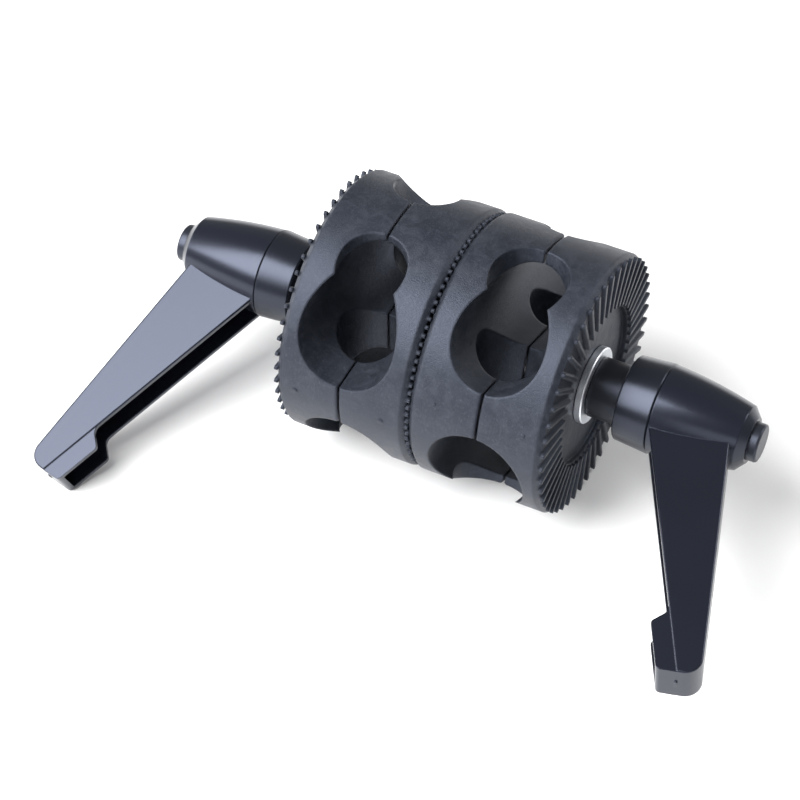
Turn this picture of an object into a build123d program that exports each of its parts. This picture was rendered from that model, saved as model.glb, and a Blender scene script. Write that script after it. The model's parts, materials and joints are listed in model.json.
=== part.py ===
from build123d import *
from math import asin, atan, cos, degrees, hypot, radians, sin, tan
import os

# Dual swivel grip head: two clamping discs on one stud, each disc split into an inner and an
# outer jaw, with an indexable clamping lever at both ends. Millimetres, +Z up, +X along the stud.
# It lies on its rims and on the tip of the left lever; the origin is under the middle of its box.

# ---- discs -------------------------------------------------------------------------------
DISC_R = 40.0
JAW_GAP = 0.6  # slit between the two jaws of a disc when it is closed
PARTING_X = 21.8  # distance of a disc's parting plane from the middle of the head
FACE_X = 41.9  # base of the outer jaws' ribs, from the middle of the head
RIM_CHAMFER = 1.6
SLIT_CHAMFER = 0.5
GATE_MARK_R = 0.8
GATE_MARK_HEIGHT = 0.2
GATE_MARK_OFFSET = 13.9  # from the parting plane, on the rim

# ---- radial ribs on the disc faces ---------------------------------------------------------
RIB_COUNT = 48
RIB_INNER_R = 24.6
RIB_TO_RIM = 0.6
RIB_WIDTH = 1.35
RIB_HEIGHT = 1.0
RIB_TIP_GAP = 0.05  # between a rib's top and the base of the facing rosette
RECESS_TO_RIBS = 0.2
RECESS_DEPTH = 1.6  # below the base of the ribs

# ---- rod channels, all centred on the parting plane ----------------------------------------
LONG_OFFSET = 21.8  # of the two channels along the disc's first direction
UPPER_R = {"left": 15.0, "right": 13.8}
LOWER_R = {"left": 13.8, "right": 15.0}
FRONT_OFFSET = 16.9  # of the channel across it on the levers' side
FRONT_R = {"left": 10.5, "right": 11.6}
BACK_OFFSET = 19.9
BACK_R = {"left": 10.0, "right": 10.0}

# ---- stud and bushing -----------------------------------------------------------------------
STUD_R = 4.0
RUNNING = 0.05  # radial clearance of every running fit
STUD_END_X = 66.0
STUD_CHAMFER = 0.65
BUSHING_WALL = 1.95
BUSHING_FLANGE = 2.0
BUSHING_LENGTH = 6.5
KEY_WIDTH = 3.5  # of the hexagon round the stud that the left inner jaw holds
KEY_LENGTH = 4.0

# ---- guide dowels and jaw springs -----------------------------------------------------------
DOWEL_R = 2.0
DOWEL_DEPTH = 11.0  # into each jaw from the parting plane
DOWEL_END_GAP = 1.0
DOWEL_CHAMFER = 0.4
SPRING_CLEARANCE = 0.35  # between a spring and what is inside or outside it
SPRING_POCKET_DEPTH = 5.0
JAW_WIRE_R = 0.4
JAW_SPRING_TURNS = 5
SPRING_END_GAP = 0.05

# ---- parts between a disc and its lever -----------------------------------------------------
WASHER_R = 11.8
WASHER_THICKNESS = 2.4
WASHER_CHAMFER = 0.3
SLEEVE_R = 9.1
SLEEVE_LENGTH = 10.0
SLEEVE_CHAMFER = 0.5

# ---- lever hub ------------------------------------------------------------------------------
COLLAR_START_R = 12.9
COLLAR_END_R = 13.8
COLLAR_LENGTH = 11.0
COLLAR_CHAMFER = 0.4
INSERT_WALL = 1.95
INSERT_SIDES = 12
INSERT_ROOM = 1.0  # in the insert beyond the stud's end
BOSS_LENGTH = 11.0
SPLINE_COUNT = 24
SPLINE_WALL = 1.2  # between the insert and the roots of the splines
SPLINE_HEIGHT = 1.0
SPLINE_CLEARANCE = 0.1
SPLINE_TOOTH_DEG = 6.2
TOOTH_ROOTING = 0.6  # how far a tooth runs into the wall it stands on

# ---- lever ----------------------------------------------------------------------------------
BARREL_LENGTH = 25.3
BARREL_START_R = 13.6
BARREL_END_R = 9.8
BARREL_BULGE = 0.6
NOSE_LENGTH = 2.4
NOSE_LAND = 1.15  # flat round the button at the barrel's end
PLAY = 0.1  # along the stud, between pieces that turn on each other
SEAM_GAP = 0.12  # between the hub's collar and the lever's barrel
RING_WALL = 1.4
WEB_THICKNESS = 2.0
WEB_HOLE_GAP = 0.9  # round the screw
LIP_LENGTH = 5.0

ARM_THICKNESS = 13.6  # across its two cheeks
ARM_WALL = 1.8
ARM_REACH = 83.7  # from the stud's axis to the tip's inboard corner
ARM_ROOT_S = 11.0  # where its slanting edges leave the barrel
ARM_INNER_SLANT = 28.3  # degrees from the disc plane
ARM_OUTER_SLANT = 16.5
ARM_ROOT_WIDTH = 24.5
PAD_LENGTH = 18.2  # from the start of the finger pad's step to the tip
STEP_RUN = 2.8
STEP_DEPTH = 5.4
STEP_ROUND_R = 3.0
TIP_SLOPE = 13.0
TIP_CORNER_R = 5.0
PAD_CORNER_R = 1.6
PAD_SET_BACK = 0.35  # of the finger pad's cheeks from the arm's
ARM_ROUND = 0.55
NUB_LENGTH = 2.6  # moulding nub on the tip's end face
NUB_WIDTH = 0.9
NUB_HEIGHT = 0.35
LEVER_TO_DISC = 26.4  # angle below the disc's first direction

# ---- button, springs and screw --------------------------------------------------------------
BUTTON_R = 5.8
BUTTON_TRAVEL = 2.4
BUTTON_PROUD = 0.6  # what still stands out when it is pressed in
BUTTON_WALL = 1.2
BUTTON_TOP = 2.6
BUTTON_EDGE = 0.8
FLANGE_THICKNESS = 1.2
FLANGE_WIDTH = 1.0
FLANGE_GAP = 0.2  # between the flange and the pocket it moves in
SCREW_SHANK_R = 2.5
SCREW_HEAD_R = 5.0
SCREW_HEAD_LENGTH = 3.0
SCREW_SOCKET_R = 2.3
SCREW_SOCKET_DEPTH = 2.0
SCREW_DEPTH = 6.0
LEVER_WIRE_R = 0.35
LEVER_SPRING_TURNS = 6

# ---- how the head lies ----------------------------------------------------------------------
SWIVEL_STEPS = 2.5  # ribs that the right disc is turned past the left one
RIB_PITCH = 360 / RIB_COUNT

# Radii that follow from the fits.
RIB_OUTER_R = DISC_R - RIB_TO_RIM
RECESS_R = RIB_INNER_R - RECESS_TO_RIBS
BUSHING_R = STUD_R + RUNNING + BUSHING_WALL
KEY_R = STUD_R + KEY_WIDTH
JAW_SPRING_R = DOWEL_R + SPRING_CLEARANCE + JAW_WIRE_R
SPRING_POCKET_R = JAW_SPRING_R + JAW_WIRE_R + SPRING_CLEARANCE
INSERT_R = STUD_R + RUNNING + INSERT_WALL
SPLINE_ROOT_R = INSERT_R + SPLINE_WALL
SPLINE_TIP_R = SPLINE_ROOT_R + SPLINE_HEIGHT
RING_R = SPLINE_TIP_R + SPLINE_CLEARANCE + RING_WALL
WEB_HOLE_R = SCREW_SHANK_R + WEB_HOLE_GAP
FLANGE_R = BUTTON_R + FLANGE_WIDTH
POCKET_R = FLANGE_R + FLANGE_GAP
NOSE_R = BUTTON_R + RUNNING + NOSE_LAND
LEVER_SPRING_R = BUTTON_R - BUTTON_WALL - SPRING_CLEARANCE - LEVER_WIRE_R

# Stations along the axis, counted from the middle of the head to either side.
BASE_X = (RIB_HEIGHT + RIB_TIP_GAP) / 2  # base of the inner jaws' ribs
FLOOR_X = FACE_X - RECESS_DEPTH
SLEEVE_X = FLOOR_X + WASHER_THICKNESS
COLLAR_X = SLEEVE_X + SLEEVE_LENGTH
SEAM_X = COLLAR_X + COLLAR_LENGTH
BOSS_X = SEAM_X + BOSS_LENGTH
WEB_X = BOSS_X + PLAY
POCKET_X = WEB_X + WEB_THICKNESS
BARREL_END_X = SEAM_X + BARREL_LENGTH
NOSE_X = BARREL_END_X + NOSE_LENGTH
LIP_X = NOSE_X - LIP_LENGTH
HEAD_X = POCKET_X + PLAY
BUTTON_END_X = NOSE_X + BUTTON_TRAVEL + BUTTON_PROUD
FLANGE_X = LIP_X - FLANGE_THICKNESS - PLAY
INSERT_END_X = STUD_END_X + INSERT_ROOM

# The left lever's tip rests on the surface under the rims, which sets how the discs are turned.
HALF_ARM = ARM_THICKNESS / 2
HALF_PAD = HALF_ARM - PAD_SET_BACK
LEFT_DROP = degrees(asin(DISC_R / hypot(ARM_REACH, HALF_PAD)) - atan(HALF_PAD / ARM_REACH))
LEFT_RISE = LEVER_TO_DISC - LEFT_DROP
RIGHT_RISE = LEFT_RISE + SWIVEL_STEPS * RIB_PITCH
RIGHT_DROP = LEVER_TO_DISC - RIGHT_RISE
FRONT_REACH = ARM_REACH * cos(radians(RIGHT_DROP)) + HALF_PAD * abs(sin(radians(RIGHT_DROP)))
AXIS_Y = (FRONT_REACH - DISC_R) / 2
AXIS_Z = DISC_R

SIDES = {"left": -1, "right": 1}
RISE = {"left": LEFT_RISE, "right": RIGHT_RISE}
DROP = {"left": LEFT_DROP, "right": RIGHT_DROP}


def direction(angle):
    """A direction square to the stud, towards -Y, raised by angle degrees."""
    return Vector(0, -cos(radians(angle)), sin(radians(angle)))


def station(side, x, angle=0.0):
    """A plane square to the stud at x on one side, facing outwards, its X raised by angle."""
    sign = SIDES[side]
    return Plane(origin=(sign * x, AXIS_Y, AXIS_Z), x_dir=direction(angle), z_dir=(sign, 0, 0))


def disc_station(side, x):
    """The same, turned with that side's disc."""
    return station(side, x, RISE[side])


def lever_station(side, x):
    """The same, turned with that side's lever."""
    return station(side, x, -DROP[side])


def channels(side):
    """Radius of each rod channel of a disc, with a plane at its middle that it runs square to."""
    first = direction(RISE[side])
    second = direction(RISE[side] + 90)
    middle = Vector(SIDES[side] * PARTING_X, AXIS_Y, AXIS_Z)
    return [
        (UPPER_R[side], Plane(middle + second * LONG_OFFSET, z_dir=first)),
        (LOWER_R[side], Plane(middle - second * LONG_OFFSET, z_dir=first)),
        (FRONT_R[side], Plane(middle + first * FRONT_OFFSET, z_dir=second)),
        (BACK_R[side], Plane(middle - first * BACK_OFFSET, z_dir=second)),
    ]


def dowel_places(side):
    """Points on a disc's first direction, each midway from a cross channel to the rim."""
    front = (FRONT_OFFSET + FRONT_R[side] + DISC_R) / 2
    back = (BACK_OFFSET + BACK_R[side] + DISC_R) / 2
    return (front, 0), (-back, 0)


def finish(part, name, colour):
    """Label a finished piece and write it."""
    part.label = name
    part.color = Color(*colour)
    export_step(part, f"parts/{name}.step")


NYLON = (0.16, 0.16, 0.17)
GLOSS = (0.06, 0.06, 0.07)
STEEL = (0.72, 0.73, 0.75)


# ---- one function for each sub-part ----------------------------------------------------------
def make_jaw(side, place):
    """Half a disc: ribbed on one face, cut by half of each rod channel on the other."""
    inner = place == "inner"
    slit = JAW_GAP / 2
    base = BASE_X if inner else FACE_X
    parting = PARTING_X - slit if inner else PARTING_X + slit
    thickness = abs(parting - base)
    outwards = -1 if inner else 1  # from the slit towards the ribs, along the side's own axis
    with BuildPart() as jaw:
        with BuildSketch(disc_station(side, base)):
            Circle(DISC_R)
        extrude(amount=-outwards * thickness)
        rims = jaw.edges().filter_by(GeomType.CIRCLE).sort_by(Axis.X)
        ribbed_rim = rims[0] if (outwards * SIDES[side] < 0) else rims[-1]
        slit_rim = rims[-1] if (outwards * SIDES[side] < 0) else rims[0]
        chamfer(ribbed_rim, RIM_CHAMFER)
        chamfer(slit_rim, SLIT_CHAMFER)
        with BuildSketch(disc_station(side, base)):
            with PolarLocations((RIB_INNER_R + RIB_OUTER_R) / 2, RIB_COUNT):
                SlotOverall(RIB_OUTER_R - RIB_INNER_R, RIB_WIDTH)
        extrude(amount=outwards * RIB_HEIGHT)
        with BuildSketch(disc_station(side, base)):
            Circle(RECESS_R)
        extrude(amount=-outwards * RECESS_DEPTH, mode=Mode.SUBTRACT)
        for radius, plane in channels(side):
            with BuildSketch(plane):
                Circle(radius)
            extrude(amount=DISC_R, both=True, mode=Mode.SUBTRACT)
        with BuildSketch(disc_station(side, parting)):
            with Locations(*dowel_places(side)):
                Circle(SPRING_POCKET_R)
        extrude(amount=outwards * (SPRING_POCKET_DEPTH - slit), mode=Mode.SUBTRACT)
        hole_r = DOWEL_R if inner else DOWEL_R + RUNNING
        hole_depth = DOWEL_DEPTH if inner else DOWEL_DEPTH + DOWEL_END_GAP
        with BuildSketch(disc_station(side, parting)):
            with Locations(*dowel_places(side)):
                Circle(hole_r)
        extrude(amount=outwards * (hole_depth - slit), mode=Mode.SUBTRACT)
        with BuildSketch(disc_station(side, parting)):
            Circle(STUD_R + RUNNING)
        extrude(amount=outwards * thickness, mode=Mode.SUBTRACT)
        if inner:
            floor = BASE_X + RECESS_DEPTH
            with BuildSketch(disc_station(side, floor)):
                if side == "left":
                    RegularPolygon(KEY_R, 6)
                else:
                    Circle(BUSHING_R + RUNNING)
            extrude(amount=KEY_LENGTH if side == "left" else BUSHING_LENGTH, mode=Mode.SUBTRACT)
        gate_x = PARTING_X + outwards * GATE_MARK_OFFSET
        gate_dir = direction(RISE[side])
        gate = Vector(SIDES[side] * gate_x, AXIS_Y, AXIS_Z) + gate_dir * (DISC_R - GATE_MARK_R)
        with BuildSketch(Plane(gate, x_dir=(1, 0, 0), z_dir=gate_dir)):
            Circle(GATE_MARK_R)
        extrude(amount=GATE_MARK_R + GATE_MARK_HEIGHT)
    return jaw.part


def make_stud():
    """The threaded rod through everything, with the hexagon that the left inner jaw holds."""
    floor = BASE_X + RECESS_DEPTH
    with BuildPart() as stud:
        with BuildSketch(station("right", -STUD_END_X)):
            Circle(STUD_R)
        extrude(amount=2 * STUD_END_X)
        ends = stud.edges().filter_by(GeomType.CIRCLE)
        chamfer(ends, STUD_CHAMFER)
        with BuildSketch(disc_station("left", floor)):
            RegularPolygon(KEY_R, 6)
        extrude(amount=KEY_LENGTH)
    return stud.part


def make_bushing():
    """Flanged bush on the stud that the right disc turns round."""
    floor = BASE_X + RECESS_DEPTH
    with BuildPart() as bushing:
        with BuildSketch(disc_station("right", floor - RECESS_DEPTH)):
            Circle(BUSHING_R + BUSHING_FLANGE)
        extrude(amount=RECESS_DEPTH - RIB_TIP_GAP)
        with BuildSketch(disc_station("right", floor - RIB_TIP_GAP)):
            Circle(BUSHING_R)
        extrude(amount=BUSHING_LENGTH)
        with BuildSketch(disc_station("right", 0)):
            Circle(STUD_R + RUNNING)
        extrude(amount=floor + BUSHING_LENGTH, mode=Mode.SUBTRACT)
    return bushing.part


def make_dowels(side):
    """The two pins that keep a disc's jaws in line."""
    with BuildPart() as dowels:
        with BuildSketch(disc_station(side, PARTING_X - DOWEL_DEPTH)):
            with Locations(*dowel_places(side)):
                Circle(DOWEL_R)
        extrude(amount=2 * DOWEL_DEPTH)
        chamfer(dowels.edges().filter_by(GeomType.CIRCLE), DOWEL_CHAMFER)
    return dowels.part


def make_coils(seat, length, turns, radius, wire, places=((0, 0),)):
    """Compression springs standing on a plane, one at each place."""
    pitch = (length - 2 * wire) / turns
    with BuildPart() as coils:
        for x, y in places:
            foot = seat.from_local_coords(Vector(x, y, wire))
            with BuildLine() as path:
                Helix(
                    pitch=pitch,
                    height=length - 2 * wire,
                    radius=radius,
                    center=foot,
                    direction=seat.z_dir,
                )
            with BuildSketch(Plane(origin=path.line @ 0, z_dir=path.line % 0)):
                Circle(wire)
            sweep(path=path.line, is_frenet=True)
    return coils.part


def make_washer(side):
    with BuildPart() as washer:
        with BuildSketch(station(side, FLOOR_X)):
            Circle(WASHER_R)
            Circle(STUD_R + RUNNING, mode=Mode.SUBTRACT)
        extrude(amount=WASHER_THICKNESS)
        rounds = washer.edges().filter_by(GeomType.CIRCLE)
        chamfer(rounds.group_by(SortBy.RADIUS)[-1], WASHER_CHAMFER)
    return washer.part


def make_sleeve(side):
    with BuildPart() as sleeve:
        with BuildSketch(station(side, SLEEVE_X)):
            Circle(SLEEVE_R)
            Circle(STUD_R + RUNNING, mode=Mode.SUBTRACT)
        extrude(amount=SLEEVE_LENGTH)
        rounds = sleeve.edges().filter_by(GeomType.CIRCLE)
        chamfer(rounds.group_by(SortBy.RADIUS)[-1], SLEEVE_CHAMFER)
    return sleeve.part


def spline_sketch():
    """The boss's round core with straight-sided teeth round it."""
    width = (SPLINE_ROOT_R + SPLINE_TIP_R) / 2 * radians(SPLINE_TOOTH_DEG)
    Circle(SPLINE_ROOT_R)
    with PolarLocations((SPLINE_ROOT_R - TOOTH_ROOTING + SPLINE_TIP_R) / 2, SPLINE_COUNT):
        Rectangle(SPLINE_HEIGHT + TOOTH_ROOTING, width)


def make_hub(side):
    """Collar that pushes on the sleeve, with the splined boss that the lever indexes on."""
    with BuildPart() as hub:
        with BuildSketch(lever_station(side, COLLAR_X)):
            Circle(COLLAR_START_R)
        with BuildSketch(lever_station(side, SEAM_X - SEAM_GAP)):
            Circle(COLLAR_END_R)
        loft()
        chamfer(hub.edges().filter_by(GeomType.CIRCLE), COLLAR_CHAMFER)
        with BuildSketch(lever_station(side, SEAM_X - SEAM_GAP)):
            spline_sketch()
        extrude(amount=BOSS_LENGTH + SEAM_GAP)
        with BuildSketch(lever_station(side, COLLAR_X)):
            RegularPolygon(INSERT_R, INSERT_SIDES)
        extrude(amount=INSERT_END_X - COLLAR_X, mode=Mode.SUBTRACT)
        with BuildSketch(lever_station(side, BOSS_X)):
            Circle(SCREW_SHANK_R)
        extrude(amount=-(BOSS_X - INSERT_END_X), mode=Mode.SUBTRACT)
    return hub.part


def make_insert(side):
    """Threaded steel nut moulded into the hub."""
    with BuildPart() as insert:
        with BuildSketch(lever_station(side, COLLAR_X)):
            RegularPolygon(INSERT_R, INSERT_SIDES)
            Circle(STUD_R + RUNNING, mode=Mode.SUBTRACT)
        extrude(amount=INSERT_END_X - COLLAR_X)
    return insert.part


def make_spline_ring(side):
    """Ring pressed into the lever: its teeth mesh with the hub's, its web is held by the screw."""
    gap_phase = 180 / SPLINE_COUNT
    with BuildPart() as ring:
        with BuildSketch(lever_station(side, SEAM_X)):
            Circle(RING_R)
            Circle(SPLINE_TIP_R + SPLINE_CLEARANCE, mode=Mode.SUBTRACT)
        extrude(amount=POCKET_X - SEAM_X)
        with BuildSketch(lever_station(side, SEAM_X)):
            reach = SPLINE_TIP_R + SPLINE_CLEARANCE + TOOTH_ROOTING
            start = SPLINE_ROOT_R + SPLINE_CLEARANCE
            with PolarLocations((reach + start) / 2, SPLINE_COUNT, start_angle=gap_phase):
                Rectangle(reach - start, start * radians(SPLINE_TOOTH_DEG))
        extrude(amount=BOSS_X - SEAM_X)
        with BuildSketch(lever_station(side, WEB_X)):
            Circle(RING_R)
            Circle(WEB_HOLE_R, mode=Mode.SUBTRACT)
        extrude(amount=WEB_THICKNESS)
    return ring.part


def arm_plane(side):
    """Plane through the stud's axis that the lever's arm lies in: X outwards, Y along the arm."""
    outwards = Vector(SIDES[side], 0, 0)
    along = direction(-DROP[side])
    return Plane(origin=(0, AXIS_Y, AXIS_Z), x_dir=outwards, z_dir=outwards.cross(along))


def pad_corners():
    """Corners of the finger pad: its step on the arm's inner edge, its inboard edge and its end."""
    slant = radians(ARM_INNER_SLANT)
    fall = radians(TIP_SLOPE)
    step_at = ARM_REACH - PAD_LENGTH
    step = Vector(SEAM_X + (step_at - ARM_ROOT_S) * tan(slant), step_at)
    run = Vector(sin(slant), cos(slant))
    inboard = Vector(-cos(slant), sin(slant))
    pad = step + run * STEP_RUN + inboard * STEP_DEPTH
    pad_end = pad + run * ((ARM_REACH - pad.Y) / run.Y)
    inner_tip = pad_end + Vector(cos(fall), -sin(fall)) * (STEP_DEPTH / cos(slant - fall))
    return step, pad, pad_end, inner_tip


def arm_corners(wall=0.0):
    """Root and tip corners of the arm's outer edge, wall inside its outer and tip faces."""
    slope = tan(radians(ARM_OUTER_SLANT))
    fall = tan(radians(TIP_SLOPE))
    pad_end = pad_corners()[2]
    root_x = SEAM_X + ARM_ROOT_WIDTH - ARM_ROOT_S * slope - wall / cos(radians(ARM_OUTER_SLANT))
    end_s = pad_end.Y - wall / cos(radians(TIP_SLOPE))  # of the tip face at the pad's end corner
    tip_s = (end_s + fall * (pad_end.X - root_x)) / (1 + fall * slope)
    return Vector(root_x, 0), Vector(root_x + tip_s * slope, tip_s)


def make_arm(side):
    """The slanting arm with the finger pad that is stepped out from its inner edge."""
    plane = arm_plane(side)
    root, tip = arm_corners()
    step, pad, pad_end, inner_tip = pad_corners()
    run = (pad_end - pad).normalized()
    with BuildPart() as arm:
        with BuildSketch(plane):
            with BuildLine():
                inner_root = (SEAM_X, ARM_ROOT_S)
                Polyline((SEAM_X, 0), inner_root, inner_tip, tip, root, close=True)
            make_face()
        extrude(amount=HALF_ARM, both=True)
        uprights = arm.edges().filter_by(Axis((0, 0, 0), plane.z_dir))
        fillet(uprights.sort_by(Axis(plane.origin, plane.x_dir))[-1], TIP_CORNER_R)
        cheeks = arm.faces().filter_by(Axis((0, 0, 0), plane.z_dir))
        fillet(cheeks.edges(), ARM_ROUND)
    with BuildPart() as finger_pad:
        with BuildSketch(plane):
            with BuildLine():
                back = step - run * STEP_RUN
                inside = Vector(run.Y, -run.X) * STEP_DEPTH
                rounds = [STEP_ROUND_R, PAD_CORNER_R, PAD_CORNER_R]
                FilletPolyline(back, step, pad, pad_end, inner_tip, radius=rounds)
                Polyline(inner_tip, inner_tip + inside - run * STEP_DEPTH, back + inside, back)
            make_face()
        extrude(amount=HALF_PAD, both=True)
    with BuildPart() as nub:
        fall = radians(TIP_SLOPE)
        end_dir = plane.x_dir * sin(fall) + plane.y_dir * cos(fall)
        seat = plane.from_local_coords(Vector(inner_tip.X, inner_tip.Y, 0))
        with BuildSketch(Plane(seat, x_dir=plane.z_dir, z_dir=end_dir)):
            SlotOverall(NUB_LENGTH, NUB_WIDTH)
        extrude(amount=NUB_HEIGHT, both=True)
    return arm.part + finger_pad.part + nub.part


def make_lever(side):
    """Tapered barrel with its arm and finger pad; the button's pocket runs through it."""
    plane = arm_plane(side)
    root, tip = arm_corners(ARM_WALL)
    far = (tip.X - 2 * DISC_R, tip.Y + 2 * DISC_R * tan(radians(TIP_SLOPE)))
    with BuildPart() as lever:
        add(make_arm(side))
        with BuildSketch(plane):
            with BuildLine():
                Polyline(root, tip, far, (SEAM_X - DISC_R, 0), close=True)
            make_face()
        extrude(amount=HALF_ARM - ARM_WALL, both=True, mode=Mode.SUBTRACT)
        with BuildSketch(plane):
            with BuildLine():
                start = (SEAM_X, BARREL_START_R)
                end = (BARREL_END_X, BARREL_END_R)
                middle_r = (BARREL_START_R + BARREL_END_R) / 2 + BARREL_BULGE
                middle = ((SEAM_X + BARREL_END_X) / 2, middle_r)
                ThreePointArc(start, middle, end)
                Polyline(end, (NOSE_X, NOSE_R), (NOSE_X, 0), (SEAM_X, 0), start)
            make_face()
        revolve(axis=Axis(plane.origin, plane.x_dir))
        for x, radius, length in (
            (SEAM_X, RING_R, POCKET_X - SEAM_X),
            (POCKET_X, POCKET_R, LIP_X - POCKET_X),
            (LIP_X, BUTTON_R + RUNNING, LIP_LENGTH),
        ):
            with BuildSketch(lever_station(side, x)):
                Circle(radius)
            extrude(amount=length, mode=Mode.SUBTRACT)
    return lever.part


def make_screw(side):
    """Socket-headed screw into the hub's boss: it holds the lever on and is the spring's seat."""
    with BuildPart() as screw:
        with BuildSketch(lever_station(side, BOSS_X - SCREW_DEPTH)):
            Circle(SCREW_SHANK_R)
        extrude(amount=SCREW_DEPTH + WEB_THICKNESS + 2 * PLAY)
        with BuildSketch(lever_station(side, HEAD_X)):
            Circle(SCREW_HEAD_R)
        extrude(amount=SCREW_HEAD_LENGTH)
        with BuildSketch(lever_station(side, HEAD_X + SCREW_HEAD_LENGTH)):
            RegularPolygon(SCREW_SOCKET_R, 6)
        extrude(amount=-SCREW_SOCKET_DEPTH, mode=Mode.SUBTRACT)
    return screw.part


def make_button(side):
    """Round push button: a cup over its spring, kept in the barrel by a flange."""
    with BuildPart() as button:
        with BuildSketch(lever_station(side, FLANGE_X)):
            Circle(BUTTON_R)
        extrude(amount=BUTTON_END_X - FLANGE_X)
        outwards = Axis((0, 0, 0), (SIDES[side], 0, 0))
        fillet(button.edges().filter_by(GeomType.CIRCLE).sort_by(outwards)[-1], BUTTON_EDGE)
        with BuildSketch(lever_station(side, FLANGE_X)):
            Circle(FLANGE_R)
        extrude(amount=FLANGE_THICKNESS)
        with BuildSketch(lever_station(side, FLANGE_X)):
            Circle(BUTTON_R - BUTTON_WALL)
        extrude(amount=BUTTON_END_X - BUTTON_TOP - FLANGE_X, mode=Mode.SUBTRACT)
    return button.part


os.makedirs("parts", exist_ok=True)
jaw_spring_length = 2 * SPRING_POCKET_DEPTH - 2 * SPRING_END_GAP
lever_spring_x = HEAD_X + SCREW_HEAD_LENGTH + SPRING_END_GAP
lever_spring_length = BUTTON_END_X - BUTTON_TOP - SPRING_END_GAP - lever_spring_x
finish(make_stud(), "clamp_stud", STEEL)
finish(make_bushing(), "centre_bushing", STEEL)
for side in SIDES:
    for place in ("inner", "outer"):
        finish(make_jaw(side, place), f"{side}_{place}_jaw", NYLON)
    finish(make_dowels(side), f"{side}_guide_dowels", STEEL)
    jaw_seat = disc_station(side, PARTING_X - SPRING_POCKET_DEPTH + SPRING_END_GAP)
    places = dowel_places(side)
    jaw_springs = make_coils(
        jaw_seat, jaw_spring_length, JAW_SPRING_TURNS, JAW_SPRING_R, JAW_WIRE_R, places
    )
    finish(jaw_springs, f"{side}_jaw_springs", STEEL)
    finish(make_washer(side), f"{side}_washer", STEEL)
    finish(make_sleeve(side), f"{side}_spacer_sleeve", GLOSS)
    finish(make_hub(side), f"{side}_lever_hub", GLOSS)
    finish(make_insert(side), f"{side}_hub_insert", STEEL)
    finish(make_spline_ring(side), f"{side}_spline_ring", STEEL)
    finish(make_lever(side), f"{side}_lever", GLOSS)
    finish(make_screw(side), f"{side}_retaining_screw", STEEL)
    spring_seat = lever_station(side, lever_spring_x)
    lever_spring = make_coils(
        spring_seat, lever_spring_length, LEVER_SPRING_TURNS, LEVER_SPRING_R, LEVER_WIRE_R
    )
    finish(lever_spring, f"{side}_lever_spring", STEEL)
    finish(make_button(side), f"{side}_button", GLOSS)
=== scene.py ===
import json
import math

import bpy
from mathutils import Matrix, Vector


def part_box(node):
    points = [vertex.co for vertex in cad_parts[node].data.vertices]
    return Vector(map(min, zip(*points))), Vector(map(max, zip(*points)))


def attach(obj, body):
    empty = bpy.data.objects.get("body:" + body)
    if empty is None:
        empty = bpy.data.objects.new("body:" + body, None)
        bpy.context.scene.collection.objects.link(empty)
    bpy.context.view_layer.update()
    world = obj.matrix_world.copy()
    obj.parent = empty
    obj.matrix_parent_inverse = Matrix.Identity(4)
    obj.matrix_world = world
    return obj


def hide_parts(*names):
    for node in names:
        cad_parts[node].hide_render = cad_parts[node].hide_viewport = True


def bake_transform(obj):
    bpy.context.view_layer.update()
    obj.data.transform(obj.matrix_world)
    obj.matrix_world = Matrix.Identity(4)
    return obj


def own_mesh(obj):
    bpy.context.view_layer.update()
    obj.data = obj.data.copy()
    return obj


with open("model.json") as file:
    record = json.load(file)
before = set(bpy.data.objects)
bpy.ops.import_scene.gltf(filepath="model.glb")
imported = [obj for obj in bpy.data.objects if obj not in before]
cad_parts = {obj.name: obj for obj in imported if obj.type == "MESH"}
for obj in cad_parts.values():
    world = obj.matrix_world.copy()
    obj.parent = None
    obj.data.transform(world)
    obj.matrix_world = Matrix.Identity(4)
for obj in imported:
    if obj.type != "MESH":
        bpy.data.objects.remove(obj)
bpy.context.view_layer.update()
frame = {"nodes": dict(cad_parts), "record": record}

# ---- places taken from the frame --------------------------------------------------------------
SIDES = ("left", "right")
STUD_LOW, STUD_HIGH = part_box("clamp_stud")
AXIS = Vector((0.0, (STUD_LOW.y + STUD_HIGH.y) / 2, (STUD_LOW.z + STUD_HIGH.z) / 2))

# ---- camera, described about the stud's axis ----------------------------------------------------
CAMERA_AZIMUTH = math.radians(26.14)  # towards +X from the -Y side
CAMERA_ELEVATION = math.radians(47.22)
CAMERA_DISTANCE = 0.85
CAMERA_ASIDE = 0.0190  # how far the view's centre lies from the head's middle
CAMERA_ABOVE = 0.0179
VIEW_TURN = math.radians(2.9)  # about the stud's axis
CAMERA_LENS = 129.2
SENSOR = 36.0

# ---- light: metres and watts --------------------------------------------------------------------
WORLD_COLOUR = (1.0, 1.0, 1.0, 1)
WORLD_STRENGTH = 0.33
BOX_DIRECTION = Vector((-0.38, -0.50, 0.78))  # the left lever's cheek and barrel mirror it
BOX_DISTANCE = 1.05
BOX_WIDTH, BOX_HEIGHT, BOX_POWER = 0.75, 1.05, 29
# place, width, height and power of the lights that face the stud's middle
FILLS = {
    "front_fill": ((0.5, -1.3, 0.7), 0.9, 0.6, 3),
    "back_fill": ((0.9, 0.9, 0.8), 0.7, 0.7, 9),
    "left_rim": ((-1.2, -0.1, 0.35), 0.6, 0.5, 6),
}
FLOOR_SIZE = 12.0
FLOOR_GREYS = (0.95, 0.97)
FLOOR_ROUGHNESS = 0.7

# ---- finishes: linear colours, edge radii in metres ---------------------------------------------
COOL = (0.70, 0.77, 1.0, 1)  # tint of the black plastics' gloss
EDGE_SAMPLES = 6
JAW_EDGE = 0.0011
JAW_GLOSS = 0.42
JAW_DARK, JAW_LIGHT = (0.010, 0.012, 0.017), (0.019, 0.022, 0.029)
FLOW_COLOUR = (0.045, 0.050, 0.062)
FIBRE_COLOUR = (0.075, 0.080, 0.094)
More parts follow.
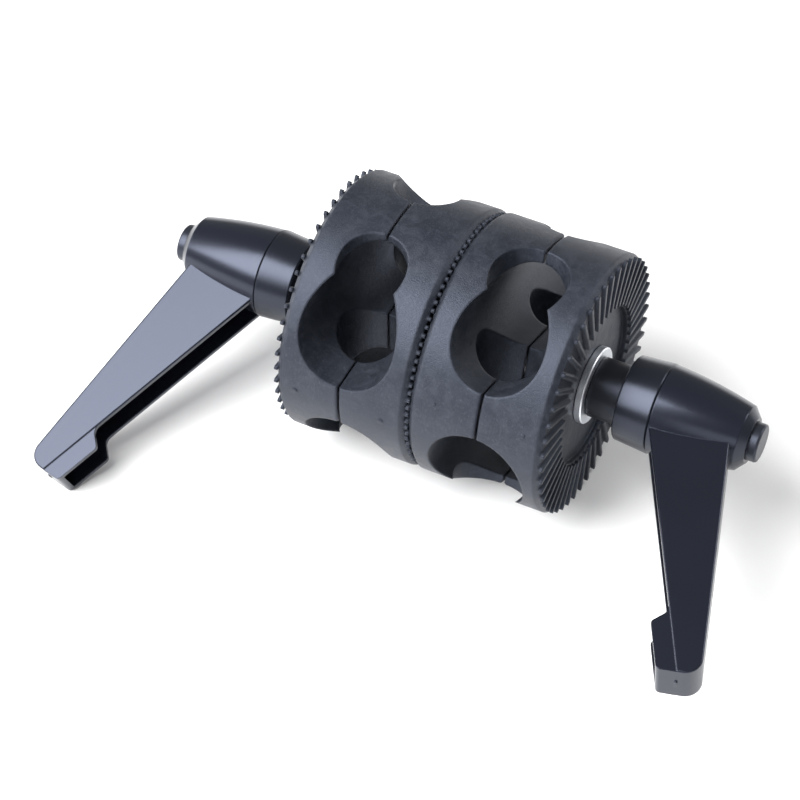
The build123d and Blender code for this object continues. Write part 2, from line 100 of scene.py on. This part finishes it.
# base colour, roughness and edge radius of each smooth black plastic
MOULDED = {
    "lever_nylon": ((0.006, 0.007, 0.011), 0.24, 0.0004),
    "hub_nylon": ((0.006, 0.007, 0.010), 0.26, 0.0003),
    "button_nylon": ((0.012, 0.013, 0.017), 0.36, 0.0003),
    "sleeve_black": ((0.007, 0.007, 0.008), 0.40, 0.0003),
}
MOULDED_LIGHTER = 1.25  # the palest flow marks against the base colour
CLOUD_ROUGHER = 0.02
SCUFF_ROUGHER = 0.12
# tint and roughness of each metal
METALS = {
    "zinc_washer": ((0.90, 0.93, 0.98), 0.32),
    "bushing_bronze": ((0.70, 0.46, 0.22), 0.3),
    "spring_steel": ((0.58, 0.59, 0.62), 0.28),
    "plated_steel": ((0.66, 0.67, 0.70), 0.3),
}
METAL_DULLER = 0.9  # the cloudiest plating against the tint
TURNING_ROUGHER = 0.08
METAL_EDGE = 0.0002

# sockets of a colour Mix node, which have no names of their own
MIX_FACTOR, MIX_BASE, MIX_OVER, MIX_RESULT = 0, 6, 7, 2


# ---- materials ----------------------------------------------------------------------------------
class Shader:
    """A Principled material with procedural colour, roughness and relief."""

    def __init__(self, name, metallic=0.0):
        self.material = bpy.data.materials.new(name)
        self.material.use_nodes = True
        self.tree = self.material.node_tree
        self.body = self.tree.nodes["Principled BSDF"]
        self.body.inputs["Metallic"].default_value = metallic
        self.coords = self.tree.nodes.new("ShaderNodeTexCoord").outputs["Object"]

    def node(self, kind, **settings):
        node = self.tree.nodes.new(kind)
        for key, value in settings.items():
            setattr(node, key, value)
        return node

    def link(self, source, target):
        self.tree.links.new(source, target)

    def noise(self, scale, detail, roughness=0.5, stretch=(1, 1, 1), distortion=0.0):
        """Noise between 0 and 1; scale is in features per metre, stretch thins it along an axis."""
        mapping = self.node("ShaderNodeMapping")
        mapping.inputs["Scale"].default_value = stretch
        self.link(self.coords, mapping.inputs["Vector"])
        noise = self.node("ShaderNodeTexNoise")
        noise.inputs["Scale"].default_value = scale
        noise.inputs["Detail"].default_value = detail
        noise.inputs["Roughness"].default_value = roughness
        noise.inputs["Distortion"].default_value = distortion
        self.link(mapping.outputs["Vector"], noise.inputs["Vector"])
        return noise.outputs["Fac"]

    def ramp(self, value, low, high):
        """Value mapped to a colour between two (position, colour) stops; a number means a grey."""
        ramp = self.node("ShaderNodeValToRGB")
        for element, (position, colour) in zip(ramp.color_ramp.elements, (low, high)):
            element.position = position
            element.color = (*colour, 1) if isinstance(colour, tuple) else (colour, colour, colour, 1)
        self.link(value, ramp.inputs["Fac"])
        return ramp.outputs["Color"]

    def cover(self, base, colour, amount):
        """The base with a flat colour over it, as far as the amount says."""
        mix = self.node("ShaderNodeMix", data_type="RGBA")
        self.link(amount, mix.inputs[MIX_FACTOR])
        self.link(base, mix.inputs[MIX_BASE])
        mix.inputs[MIX_OVER].default_value = (*colour, 1)
        return mix.outputs[MIX_RESULT]

    def colour(self, socket):
        self.link(socket, self.body.inputs["Base Color"])

    def rough(self, socket):
        self.link(socket, self.body.inputs["Roughness"])

    def relief(self, edge, *layers):
        """Edges rounded to a radius, then relief: (height, distance in metres, strength)."""
        bevel = self.node("ShaderNodeBevel", samples=EDGE_SAMPLES)
        bevel.inputs["Radius"].default_value = edge
        normal = bevel.outputs["Normal"]
        for height, distance, strength in layers:
            bump = self.node("ShaderNodeBump")
            bump.inputs["Distance"].default_value = distance
            bump.inputs["Strength"].default_value = strength
            self.link(height, bump.inputs["Height"])
            self.link(normal, bump.inputs["Normal"])
            normal = bump.outputs["Normal"]
        self.link(normal, self.body.inputs["Normal"])

    def set(self, **values):
        for key, value in values.items():
            self.body.inputs[key.replace("_", " ")].default_value = value


def jaw_nylon():
    """Glass-filled nylon: dark grey, mottled by its flow, with bright fibre specks and a fine grain."""
    s = Shader("glass_filled_nylon")
    cloud = s.noise(70, detail=4, roughness=0.6)
    flow = s.noise(240, detail=5, roughness=0.65, distortion=0.8)
    fine = s.noise(2400, detail=3, roughness=0.6)
    fibres = s.noise(1500, detail=4, roughness=0.75, stretch=(1, 1, 0.5))
    base = s.ramp(cloud, (0.3, JAW_DARK), (0.7, JAW_LIGHT))
    mottled = s.cover(base, FLOW_COLOUR, amount=s.ramp(flow, (0.45, 0.0), (0.8, 0.5)))
    speckled = s.cover(mottled, FIBRE_COLOUR, amount=s.ramp(fibres, (0.54, 0.0), (0.80, 0.5)))
    s.colour(speckled)
    s.rough(s.ramp(flow, (0.3, 0.38), (0.7, 0.52)))
    s.set(Specular_Tint=COOL, Specular_IOR_Level=JAW_GLOSS)
    s.relief(JAW_EDGE, (fine, 0.00015, 0.7), (flow, 0.0002, 0.3))
    return s.material


def moulded_black(name, tint, roughness, edge):
    """Satin moulded plastic: near-black, with faint flow marks, a soft orange peel and light scuffs."""
    s = Shader(name)
    cloud = s.noise(30, detail=2, roughness=0.4)
    peel = s.noise(700, detail=2, roughness=0.4)
    scuff = s.noise(900, detail=4, roughness=0.7, stretch=(1, 0.15, 0.6))
    lighter = tuple(channel * MOULDED_LIGHTER for channel in tint)
    s.colour(s.ramp(cloud, (0.3, tint), (0.75, lighter)))
    even = s.ramp(cloud, (0.25, roughness), (0.8, roughness + CLOUD_ROUGHER))
    scuffed = (roughness + SCUFF_ROUGHER,) * 3
    s.rough(s.cover(even, scuffed, amount=s.ramp(scuff, (0.66, 0.0), (0.84, 0.35))))
    s.set(Specular_Tint=COOL)
    s.relief(edge, (peel, 0.00004, 0.12))
    return s.material


def plated(name, tint, roughness):
    """Bare or plated metal with fine turning marks and a cloudy surface."""
    s = Shader(name, metallic=1.0)
    cloud = s.noise(140, detail=3, roughness=0.5)
    turning = s.noise(1100, detail=2, roughness=0.5, stretch=(6, 1, 1))
    dull = tuple(channel * METAL_DULLER for channel in tint)
    s.colour(s.ramp(cloud, (0.3, dull), (0.7, tint)))
    s.rough(s.ramp(turning, (0.3, roughness), (0.7, roughness + TURNING_ROUGHER)))
    s.relief(METAL_EDGE, (turning, 0.00003, 0.15))
    return s.material


def dress():
    """Give each CAD node the material of its record slot."""
    finishes = {"jaw_nylon": jaw_nylon()}
    for name, look in MOULDED.items():
        finishes[name] = moulded_black(name, *look)
    for name, look in METALS.items():
        finishes[name] = plated(name, *look)
    slots = {sub["node"]: sub["material_slot"] for sub in frame["record"]["subparts"]}
    for name, node in frame["nodes"].items():
        node.data.materials.clear()
        node.data.materials.append(finishes[slots[name]])


# ---- springs ------------------------------------------------------------------------------------
def live_copy(node):
    """A copy of a CAD spring that stands for it, since its own mesh can't change length."""
    source = frame["nodes"][node]
    piece = bpy.data.objects.new(f"{node}_live", source.data.copy())
    bpy.context.scene.collection.objects.link(piece)
    piece.matrix_world = source.matrix_world.copy()
    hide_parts(node)
    return piece


def put_springs():
    """Stand-in copies of the springs: the jaw springs baked in place, and each lever spring attached to
    its handle's body with a mesh of its own.
    """
    for side in SIDES:
        jaw_springs = live_copy(f"{side}_jaw_springs")
        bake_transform(jaw_springs)

        lever_spring = live_copy(f"{side}_lever_spring")
        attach(lever_spring, f"{side}_handle")
        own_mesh(lever_spring)


# ---- studio -------------------------------------------------------------------------------------
def put_camera():
    """Camera in front of the head and above it, its axes worked out about the stud."""
    out = Vector((
        math.sin(CAMERA_AZIMUTH) * math.cos(CAMERA_ELEVATION),
        -math.cos(CAMERA_AZIMUTH) * math.cos(CAMERA_ELEVATION),
        math.sin(CAMERA_ELEVATION),
    ))
    right = Vector((0, 0, 1)).cross(out).normalized()
    up = out.cross(right)
    eye = out * CAMERA_DISTANCE - right * CAMERA_ASIDE - up * CAMERA_ABOVE
    turn = Matrix.Rotation(-VIEW_TURN, 3, "X")
    data = bpy.data.cameras.new("camera")
    data.lens = CAMERA_LENS
    data.sensor_width = SENSOR
    camera = bpy.data.objects.new("camera", data)
    axes = Matrix((turn @ right, turn @ up, turn @ out)).transposed()
    camera.matrix_world = Matrix.Translation(AXIS + turn @ eye) @ axes.to_4x4()
    bpy.context.scene.collection.objects.link(camera)
    bpy.context.scene.camera = camera


def put_light(name, place, target, width, height, power):
    """A soft box that faces its target."""
    data = bpy.data.lights.new(name, "AREA")
    data.shape = "RECTANGLE"
    data.size = width
    data.size_y = height
    data.energy = power
    light = bpy.data.objects.new(name, data)
    light.location = place
    aim = (Vector(target) - Vector(place)).to_track_quat("-Z", "Y")
    light.rotation_euler = aim.to_euler()
    bpy.context.scene.collection.objects.link(light)


def put_floor():
    """A wide pale floor under the head."""
    mesh = bpy.data.meshes.new("floor")
    half = FLOOR_SIZE / 2
    corners = [(-half, -half, 0), (half, -half, 0), (half, half, 0), (-half, half, 0)]
    mesh.from_pydata(corners, [], [(0, 1, 2, 3)])
    floor = bpy.data.objects.new("floor", mesh)
    s = Shader("pale_floor")
    darker, paler = FLOOR_GREYS
    s.colour(s.ramp(s.noise(3, detail=2), (0.3, darker), (0.7, paler)))
    s.set(Roughness=FLOOR_ROUGHNESS)
    mesh.materials.append(s.material)
    bpy.context.scene.collection.objects.link(floor)


def put_studio():
    """Dim pale surroundings, a soft box over the left lever, two broad fills and a rim light."""
    world = bpy.data.worlds.new("studio")
    world.use_nodes = True
    background = world.node_tree.nodes["Background"]
    background.inputs["Color"].default_value = WORLD_COLOUR
    background.inputs["Strength"].default_value = WORLD_STRENGTH
    bpy.context.scene.world = world
    bpy.context.scene.view_settings.view_transform = "Standard"
    low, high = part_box("left_lever")
    lever = (Vector(low) + Vector(high)) / 2
    put_light("lever_box", lever + BOX_DIRECTION * BOX_DISTANCE, lever, BOX_WIDTH, BOX_HEIGHT, BOX_POWER)
    for name, (place, width, height, power) in FILLS.items():
        put_light(name, place, AXIS, width, height, power)
    put_floor()


dress()
put_springs()
put_camera()
put_studio()
